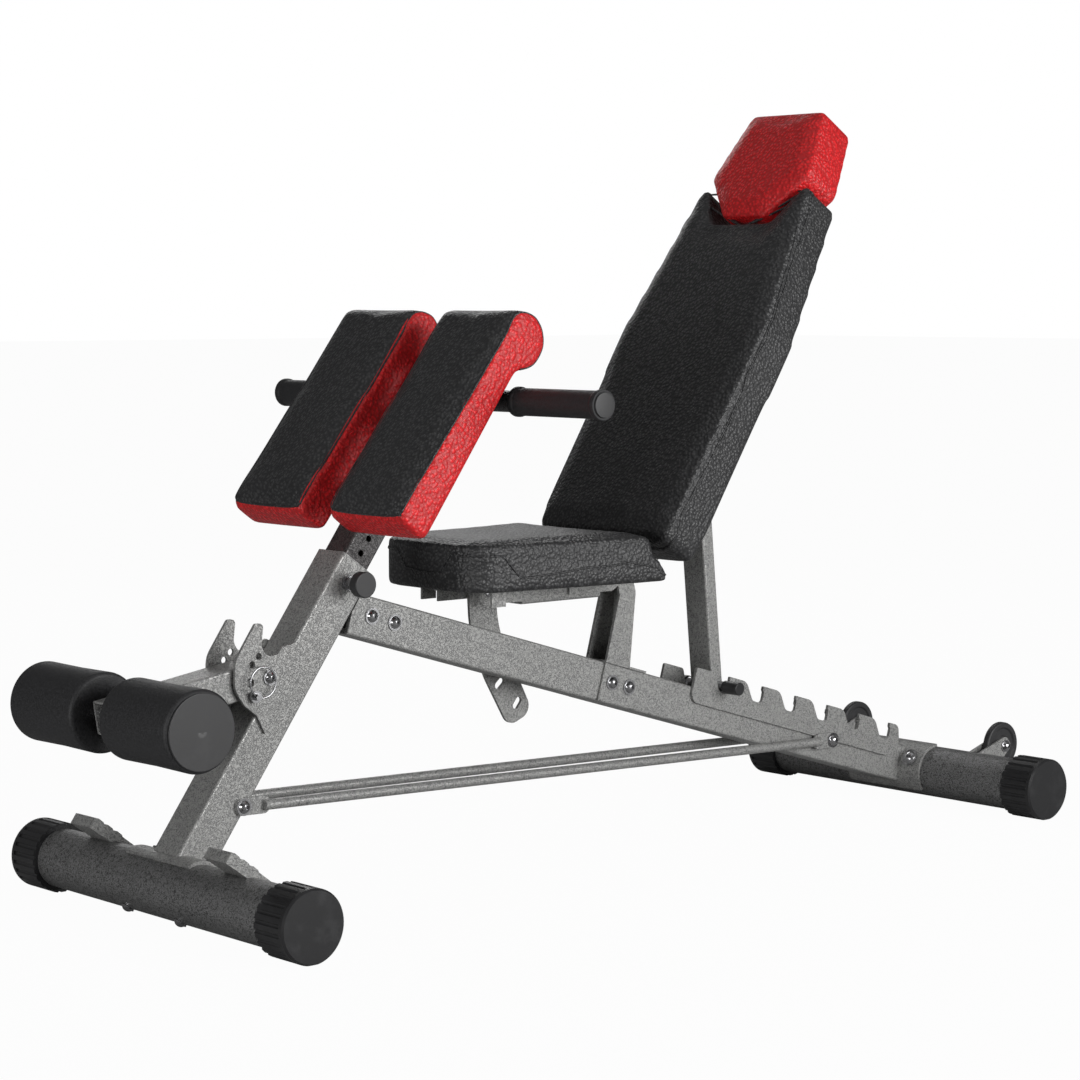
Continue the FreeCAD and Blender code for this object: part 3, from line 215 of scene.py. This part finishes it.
# Satin moulded plastic with a faint spark-eroded grain.
def mouldedPlastic(name, tone, gloss):
    finish = Finish(name, Specular_IOR_Level=0.45)
    grain = finish.noise(moulding["grain"], detail=2)
    rub = finish.noise(moulding["rub"], detail=4, roughness=moulding["breakUp"]).ramped(*moulding["rubEdge"])
    lighter = [c * moulding["lighter"] + moulding["lift"] for c in tone]
    finish.feed("Base Color", finish.blendColours(rub, tone, lighter))
    finish.feed("Roughness", gloss + rub * moulding["worn"])
    finish.raised(grain, moulding["bump"], moulding["depth"])
    return finish.material


zinc = {"haze": 60, "breakUp": 0.6, "hazeEdge": (0.4, 0.7), "marks": 2600, "clear": (0.46, 0.46, 0.47),
        "hazy": (0.34, 0.34, 0.35), "rough": 0.16, "hazeRough": 0.16, "bump": 0.08, "depth": 0.0002}


# Plated steel with fine turning marks and a little haze.
def brightZinc(name):
    finish = Finish(name, Metallic=1.0)
    haze = finish.noise(zinc["haze"], detail=4, roughness=zinc["breakUp"]).ramped(*zinc["hazeEdge"])
    marks = finish.noise(zinc["marks"], detail=1)
    finish.feed("Base Color", finish.blendColours(haze, zinc["clear"], zinc["hazy"]))
    finish.feed("Roughness", zinc["rough"] + haze * zinc["hazeRough"])
    finish.raised(marks, zinc["bump"], zinc["depth"])
    return finish.material


paints = {
    # the hammertone paints' first colour is painted shade in the grooves between the ridges
    "frame": hammertonePaint("framePaint", (0.15, 0.15, 0.15), (0.36, 0.36, 0.35), 0.35),
    "feet": hammertonePaint("footPaint", (0.060, 0.060, 0.060), (0.25, 0.25, 0.25), 0.6),
    "slider": hammertonePaint("sliderPaint", (0.022, 0.021, 0.021), (0.10, 0.095, 0.095), 0.4),
    # the leathers' first colour is painted shade in the creases, the second a painted highlight on the pebble tops
    "blackLeather": grainedLeather("blackLeather", (0.016, 0.016, 0.017), (0.050, 0.050, 0.051), 0.36, 250),
    "redLeather": grainedLeather("redLeather", (0.46, 0.006, 0.008), (0.80, 0.014, 0.018), 0.36, 225),
    "foam": closedFoam("rollerFoam", (0.012, 0.012, 0.013), 420),
    "plastic": mouldedPlastic("capPlastic", (0.016, 0.016, 0.017), 0.34),
    "disc": mouldedPlastic("discPlastic", (0.024, 0.024, 0.025), 0.45),
    "wheel": mouldedPlastic("wheelPlastic", (0.022, 0.022, 0.023), 0.48),
    "zinc": brightZinc("brightZinc"),
}
print("finishes made:", len(paints))

nodePaint = {"foot_paint": "feet", "frame_paint": "frame", "slider_paint": "slider", "cushion": "blackLeather",
             "grip_foam": "foam", "cap_plastic": "plastic", "knob_plastic": "plastic", "wheel_plastic": "wheel",
             "bolts": "zinc"}
discNodes = ("roller_core_left", "roller_core_right", "post_pull_pin", "seat_pin")
slotOf = {part["node"]: part["material_slot"] for part in frame["record"]["subparts"]}
for nodeName, solid in frame["nodes"].items():
    paint = "disc" if nodeName in discNodes else nodePaint[slotOf[nodeName]]
    solid.data.materials.clear()
    solid.data.materials.append(paints[paint])
print("CAD nodes painted")


# Links a mesh as a piece that rides on one body.
def newPiece(name, mesh, finishes, body):
    piece = bpy.data.objects.new(name, mesh)
    bpy.context.collection.objects.link(piece)
    for paint in finishes:
        mesh.materials.append(paints[paint])
    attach(piece, body)
    return piece


# Turns a closed profile of (across, radius, whether it is rounded) about the Y axis.
def spunMesh(name, profile, rounding, centre, steps):
    bm = bmesh.new()
    corners = [bm.verts.new((radius, sideways, 0)) for sideways, radius, isSoft in profile]
    for i, corner in enumerate(corners):
        bm.edges.new((corners[i - 1], corner))
    soft = [corner for corner, point in zip(corners, profile) if point[2]]
    bmesh.ops.bevel(bm, geom=soft, offset=rounding, affect="VERTICES", segments=6, profile=0.5, material=-1)
    bmesh.ops.spin(bm, geom=bm.verts[:] + bm.edges[:], cent=(0, 0, 0), axis=(0, 1, 0), dvec=(0, 0, 0),
                   angle=2 * math.pi, steps=steps, use_merge=True)
    bmesh.ops.remove_doubles(bm, verts=bm.verts, dist=1e-6)
    bmesh.ops.recalc_face_normals(bm, faces=bm.faces)
    bmesh.ops.translate(bm, verts=bm.verts, vec=centre)
    for face in bm.faces:
        face.smooth = True
    mesh = bpy.data.meshes.new(name)
    bm.to_mesh(mesh)
    bm.free()
    return mesh


# Bakes the piece's modifiers into a fresh mesh.
def appliedModifiers(piece):
    graph = bpy.context.evaluated_depsgraph_get()
    baked = bpy.data.meshes.new_from_object(piece.evaluated_get(graph))
    piece.modifiers.clear()
    old, piece.data = piece.data, baked
    bpy.data.meshes.remove(old)


cover = {"shrink": 0.002, "pull": 0.0005, "pressure": 4.0, "mass": 0.3, "stretch": 15, "shear": 5, "quality": 5,
         "frames": 20, "smoothFactor": 0.5, "quickSwell": 0.001}


# A cloth cover blown up over a board: even voxels, cloth with pressure, limits to its swelling, one subdivision.
def stuffedPad(name, node, body, look):
    bm = bmesh.new()
    bm.from_mesh(frame["nodes"][node].data)
    bmesh.ops.remove_doubles(bm, verts=bm.verts, dist=1e-5)
    mesh = bpy.data.meshes.new(name)
    bm.to_mesh(mesh)
    bm.free()
    piece = newPiece(name, mesh, look["finishes"], body)
    lean = Matrix.Rotation(look["lean"], 4, "Y")
    mesh.transform(lean.inverted())  # square to the voxels
    remesh = piece.modifiers.new("voxels", "REMESH")
    remesh.mode, remesh.voxel_size, remesh.use_smooth_shade = "VOXEL", look["voxel"], True
    appliedModifiers(piece)
    mesh = piece.data
    mesh.transform(lean)

    front, board = look["front"], look["board"]
    rest = [v.co.copy() for v in mesh.vertices]
    normals = [v.normal.copy() for v in mesh.vertices]
    held = [board(p) for p in rest]
    for v, n, isHeld in zip(mesh.vertices, normals, held):
        if not isHeld:
            v.co -= n * cover["shrink"]
    group = piece.vertex_groups.new(name="board")
    group.add([i for i, isHeld in enumerate(held) if isHeld], 1.0, "REPLACE")
    cloth = piece.modifiers.new("cover", "CLOTH")
    cloth.settings.quality = cover["quality"]
    cloth.settings.mass = cover["mass"]
    cloth.settings.tension_stiffness = cloth.settings.compression_stiffness = cover["stretch"]
    cloth.settings.shear_stiffness = cover["shear"]
    cloth.settings.bending_stiffness = look["stiffness"]
    cloth.settings.use_pressure = True
    cloth.settings.uniform_pressure_force = cover["pressure"]
    cloth.settings.vertex_group_mass = "board"
    cloth.settings.effector_weights.gravity = 0
    cloth.point_cache.frame_start, cloth.point_cache.frame_end = 1, cover["frames"]
    for step in range(1, cover["frames"] + 1):
        bpy.context.scene.frame_set(step)
    appliedModifiers(piece)
    bpy.context.scene.frame_set(1)
    mesh = piece.data
    for v, p, n, isHeld in zip(mesh.vertices, rest, normals, held):
        facing = max(0.0, n.dot(front)) ** 2
        allowed = look["sideSwell"] + (look["crown"] - look["sideSwell"]) * facing
        outward = (v.co - p).dot(n)
        v.co = p if isHeld else p + n * max(-cover["pull"], min(outward, allowed))
    bm = bmesh.new()
    bm.from_mesh(mesh)
    for i in range(look["smoothing"]):
        bmesh.ops.smooth_vert(bm, verts=bm.verts, factor=cover["smoothFactor"],
                              use_axis_x=True, use_axis_y=True, use_axis_z=True)
    bm.to_mesh(mesh)
    bm.free()
    finer = piece.modifiers.new("finer", "SUBSURF")
    finer.levels = finer.render_levels = 1
    appliedModifiers(piece)
    mesh = piece.data
    panel = look.get("panel", lambda spot: 0)
    for face in mesh.polygons:
        face.use_smooth = True
        face.material_index = panel(face.center)
    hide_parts(node)
    print("pad made:", name, len(mesh.polygons), "faces")
    return piece


welt = {"radius": 0.0013, "roundness": 2, "smoothness": 3, "finish": "blackLeather"}


# Lays a thin welt on a pad along a path.
def seamCord(name, pad, path, closed, body):
    skin = BVHTree.FromObject(pad, bpy.context.evaluated_depsgraph_get())
    curve = bpy.data.curves.new(name, "CURVE")
    curve.dimensions = "3D"
    curve.bevel_depth = welt["radius"]
    curve.bevel_resolution = welt["roundness"]
    curve.resolution_u = welt["smoothness"]
    spline = curve.splines.new("NURBS")
    spline.points.add(len(path) - 1)
    for point, spot in zip(spline.points, path):
        near = skin.find_nearest(spot)[0]
        point.co = (*near, 1)
    spline.order_u = 3
    spline.use_cyclic_u = closed
    spline.use_endpoint_u = not closed
    line = bpy.data.objects.new(name + "Line", curve)
    bpy.context.collection.objects.link(line)
    graph = bpy.context.evaluated_depsgraph_get()
    mesh = bpy.data.meshes.new_from_object(line.evaluated_get(graph))
    bpy.data.objects.remove(line)
    mesh.name = name
    mesh.materials.clear()
    return newPiece(name, mesh, [welt["finish"]], body)


up, across, rearward = Vector((0, 0, 1)), Vector((0, 1, 0)), Vector((1, 0, 0))
joints = {joint["name"]: joint for joint in frame["joints"]}
# Places on the frame's middle plane, from the floor point under its front.
frameLines = {"hinge": (0.690, 0, 0.358), "postFoot": (0.0363, 0, 0.0644), "backFoot": (0.705, 0, 0.370),
              "recline": 32.4}
postUp = Vector(joints["pad_post_slide"]["axis"])
postFront = Vector((-postUp.z, 0, postUp.x))
zeroLine = Vector(joints["seat_tilt"]["pos_m"]) - Vector(frameLines["hinge"])
postBase = zeroLine + Vector(frameLines["postFoot"])
backZero = zeroLine + Vector(frameLines["backFoot"])
recline = math.radians(frameLines["recline"])
backUp = Vector((math.sin(recline), 0, math.cos(recline)))
backFront = Vector((-math.cos(recline), 0, math.sin(recline)))


def alongPost(along, before, y):
    return postBase + postUp * along + postFront * before + across * y


loopSteps = {"wide": 8, "narrow": 3, "wideFrom": 0.01, "spacing": 0.02, "smallest": 1e-6}


# Points round a closed polygon of (u, v, radius) corners, with the corners rounded.
def roundedLoop(corners):
    loop = []
    for i, (u, v, radius) in enumerate(corners):
        spot = Vector((u, v))
        into = (Vector(corners[i - 1][:2]) - spot).normalized()
        away = (Vector(corners[(i + 1) % len(corners)][:2]) - spot).normalized()
        half = into.angle(away) / 2
        reach = radius / math.tan(half)
        centre = spot + (into + away).normalized() * (radius / math.sin(half))
        start, end = spot + into * reach - centre, spot + away * reach - centre
        steps = loopSteps["wide"] if radius > loopSteps["wideFrom"] else loopSteps["narrow"]
        for k in range(steps + 1):
            ray = start.slerp(end, k / steps) if (start - end).length > loopSteps["smallest"] else start
            loop.append(centre + ray)
    dense = []
    for i, spot in enumerate(loop):
        ahead = loop[(i + 1) % len(loop)]
        pieces = max(1, round((ahead - spot).length / loopSteps["spacing"]))
        dense += [spot.lerp(ahead, k / pieces) for k in range(pieces)]
    return dense


hipPad = {"voxel": 0.005, "stiffness": 0.6, "crown": 0.006, "sideSwell": 0.0015, "smoothing": 5,
          "front": postFront, "lean": math.atan2(postUp.x, postUp.z), "finishes": ["blackLeather", "redLeather"],
          "boardBehind": 0.031, "boardBelow": 0.650,
          "middle": 0.094, "blackHalf": 0.0635, "redBelow": 0.4265, "redBehind": 0.0735}
hipPad["board"] = lambda p: ((p - postBase).dot(postFront) < hipPad["boardBehind"]
                             and (p - postBase).dot(postUp) < hipPad["boardBelow"])
hipPad["panel"] = lambda c: int(abs(abs(c.y) - hipPad["middle"]) > hipPad["blackHalf"] or (
    (c - postBase).dot(postUp) < hipPad["redBelow"] and (c - postBase).dot(postFront) < hipPad["redBehind"]))

# The hip pads' welts follow the roll at the top, the face and the foot, up one side and down the other.
hipWelt = {"along": 0.687, "before": 0.041, "radius": 0.035, "turn": range(-150, 75, 15), "inner": 0.0275,
           "outer": 0.1605, "face": [(0.68, 0.0665)] + [(0.66 - i * 0.03, 0.0675 + i * 0.00133) for i in range(8)],
           "foot": [(0.434, 0.0775), (0.428, 0.0765)], "low": (0.424, 0.0735), "inset": 0.012}
edge = [(hipWelt["along"] + hipWelt["radius"] * math.cos(math.radians(t)),
         hipWelt["before"] + hipWelt["radius"] * math.sin(math.radians(t))) for t in hipWelt["turn"]]
edge += hipWelt["face"] + hipWelt["foot"]
for sideName, side in (("left", 1), ("right", -1)):
    pad = stuffedPad(f"hipPad.{sideName}", f"hip_pad_{sideName}", "pad_post", hipPad)
    path = [alongPost(a, b, side * hipWelt["outer"]) for a, b in edge]
    path += [alongPost(*hipWelt["low"], side * y) for y in (hipWelt["outer"] - hipWelt["inset"],
                                                            hipWelt["inner"] + hipWelt["inset"])]
    path += [alongPost(a, b, side * hipWelt["inner"]) for a, b in reversed(edge)]
    seamCord(f"hipWelt.{sideName}", pad, path, False, "pad_post")

seatLow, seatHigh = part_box("seat_pad")
seat = {"voxel": 0.005, "stiffness": 0.8, "crown": 0.004, "sideSwell": 0.001, "smoothing": 4,
        "front": up, "lean": 0.0, "finishes": ["blackLeather"], "boardThick": 0.004, "weltBelow": 0.001,
        "corners": [(0.389, -0.0925, 0.045), (0.640, -0.1225, 0.004), (0.640, 0.1225, 0.004), (0.389, 0.0925, 0.045)]}
seat["board"] = lambda p: p.z < seatLow.z + seat["boardThick"]
pad = stuffedPad("seatPad", "seat_pad", "seat", seat)
weltLevel = up * (seatHigh.z - seat["weltBelow"])
path = [zeroLine + rearward * u + across * v + weltLevel for u, v in roundedLoop(seat["corners"])]
seamCord("seatWelt", pad, path, True, "seat")

backRest = {"voxel": 0.0055, "stiffness": 0.8, "crown": 0.005, "sideSwell": 0.001, "smoothing": 4,
            "front": backFront, "lean": recline, "finishes": ["blackLeather"],
            "boardFront": -0.011, "weltFront": 0.048,
            "corners": [(0.1185, 0.020, 0.012), (0.127, 0.312, 0.15), (0.097, 0.522, 0.007), (0.084, 0.523, 0.005),
                        (0.054, 0.472, 0.008)]}
backRest["board"] = lambda p: (p - backZero).dot(backFront) < backRest["boardFront"]
pad = stuffedPad("backPad", "back_pad", "backrest", backRest)
corners = backRest["corners"] + [(-u, v, r) for u, v, r in reversed(backRest["corners"])]
path = [backZero + across * u + backUp * v + backFront * backRest["weltFront"] for u, v in roundedLoop(corners)]
seamCord("backWelt", pad, path, True, "backrest")

headRest = {"voxel": 0.0045, "stiffness": 0.8, "crown": 0.005, "sideSwell": 0.001, "smoothing": 5,
            "front": backFront, "lean": recline, "finishes": ["redLeather"], "boardFront": -0.012}
headRest["board"] = lambda p: (p - backZero).dot(backFront) < headRest["boardFront"]
stuffedPad("headPad", "head_pad", "backrest", headRest)

# The rollers' foam, the hand grips and their plugs are spun about the Y axis.
rollerFoam = {"bore": 0.0115, "rounding": 0.005, "waist": 0.0008, "steps": 96}
for sideName, side in (("left", 1), ("right", -1)):
    low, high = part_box(f"roller_foam_{sideName}")
    centre, half, radius = (low + high) / 2, (high.y - low.y) / 2, (high.x - low.x) / 2
    waist = radius - rollerFoam["waist"]  # the foam is a little thinner in the middle
    mesh = spunMesh("rollerFoam", [(-half, rollerFoam["bore"], False), (-half, radius, True),
                                   (0, waist, False), (half, radius, True), (half, rollerFoam["bore"], False)],
                    rollerFoam["rounding"], centre, rollerFoam["steps"])
    foam = newPiece(f"rollerFoam.{sideName}", mesh, ["foam"], f"roller_{sideName}")
    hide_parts(f"roller_foam_{sideName}")

grip = {"length": 0.148, "radius": 0.016, "lip": 0.0175, "lipWidth": 0.006, "step": 0.003, "bore": 0.01255,
        "plug": 0.0145, "plugHalf": 0.002, "rounding": 0.0011, "plugRounding": 0.001, "steps": 48}
low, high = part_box("handle_grips")
middle = Vector(((low.x + high.x) / 2, 0, (low.z + high.z) / 2))
bm = bmesh.new()
plugs = bmesh.new()
for side in (-1, 1):
    tip = side * (high.y - grip["plugHalf"])
    start = tip - side * (grip["length"] - grip["plugHalf"])
    lip = side * grip["lipWidth"]
    ramp = side * (grip["lipWidth"] + grip["step"])
    sleeve = spunMesh("sleeve", [(start, grip["bore"], False), (start, grip["lip"], True),
                                 (start + lip, grip["lip"], True), (start + ramp, grip["radius"], True),
                                 (tip - ramp, grip["radius"], True), (tip - lip, grip["lip"], True),
                                 (tip, grip["lip"], True), (tip, grip["bore"], False)],
                      grip["rounding"], middle, grip["steps"])
    bm.from_mesh(sleeve)
    bpy.data.meshes.remove(sleeve)
    inside, outside = tip - side * grip["plugHalf"], tip + side * grip["plugHalf"]
    disc = spunMesh("disc", [(inside, 0.0, False), (inside, grip["plug"], False), (outside, grip["plug"], True),
                             (outside, 0.0, False)], grip["plugRounding"], middle, grip["steps"])
    plugs.from_mesh(disc)
    bpy.data.meshes.remove(disc)
for name, made, paint, slot in (("handGrips", bm, "foam", "grip_foam"), ("gripPlugs", plugs, "disc", "cap_plastic")):
    bmesh.ops.recalc_face_normals(made, faces=made.faces)
    mesh = bpy.data.meshes.new(name)
    made.to_mesh(mesh)
    made.free()
    piece = newPiece(name, mesh, [paint], "pad_post")
    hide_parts("handle_grips")
print("rollers and grips made")

# A pale floor, an even backdrop and soft lamps.
studio = {"floor": (0.5, 0.5, 0.5), "floorRough": 0.9, "glow": 1.0, "evenness": 0.97, "floorSize": 40.0,
          "backdrop": 1.0, "ambient": 0.14}
floorMesh = bpy.data.meshes.new("floor")
bm = bmesh.new()
bmesh.ops.create_grid(bm, x_segments=1, y_segments=1, size=studio["floorSize"])
bm.to_mesh(floorMesh)
bm.free()
floor = bpy.data.objects.new("floor", floorMesh)
bpy.context.collection.objects.link(floor)
matt = Finish("floorMatt", Roughness=studio["floorRough"], Specular_IOR_Level=0.1)
matt.shader.inputs["Base Color"].default_value = (*studio["floor"], 1)
glow = matt.node("ShaderNodeEmission", {}, {"Color": (1, 1, 1, 1), "Strength": studio["glow"]})
seen = matt.node("ShaderNodeLightPath", {}, {}, "Is Camera Ray") * studio["evenness"]
blend = matt.node("ShaderNodeMixShader", {}, {0: seen, 1: Wire(matt, matt.shader.outputs[0]), 2: glow})
surface = next(n for n in matt.tree.nodes if n.type == "OUTPUT_MATERIAL")
matt.tree.links.new(blend.socket, surface.inputs["Surface"])
floorMesh.materials.append(matt.material)

world = bpy.data.worlds.new("studio")
bpy.context.scene.world = world
world.use_nodes = True
sky = world.node_tree
backdrop = next(n for n in sky.nodes if n.type == "BACKGROUND")
rays = sky.nodes.new("ShaderNodeLightPath")
level = sky.nodes.new("ShaderNodeMapRange")
level.inputs["To Min"].default_value = studio["ambient"]
level.inputs["To Max"].default_value = studio["backdrop"]
sky.links.new(rays.outputs["Is Camera Ray"], level.inputs["Value"])
sky.links.new(level.outputs["Result"], backdrop.inputs["Strength"])
backdrop.inputs["Color"].default_value = (1, 1, 1, 1)

lamps = [  # name, place, aim, width, height, watts
    ("sideKey", (0.6, -3.2, 1.0), (0.0, 0.0, 0.35), 2.6, 1.6, 104),
    ("frontFill", (-3.2, -0.5, 0.55), (0.0, 0.0, 0.3), 1.4, 0.7, 30),
    ("overhead", (0.0, 0.0, 3.4), (0.0, 0.0, 0.0), 3.0, 3.0, 10),
    ("backRim", (1.6, 2.6, 1.8), (0.0, 0.0, 0.4), 1.4, 1.2, 14)]
for name, place, aim, width, height, watts in lamps:
    lamp = bpy.data.lights.new(name, "AREA")
    lamp.shape, lamp.size, lamp.size_y, lamp.energy = "RECTANGLE", width, height, watts
    holder = bpy.data.objects.new(name, lamp)
    holder.location = place
    holder.rotation_euler = (Vector(aim) - Vector(place)).to_track_quat("-Z", "Y").to_euler()
    bpy.context.collection.objects.link(holder)
bpy.context.scene.view_settings.view_transform = "Standard"
print("studio lit")
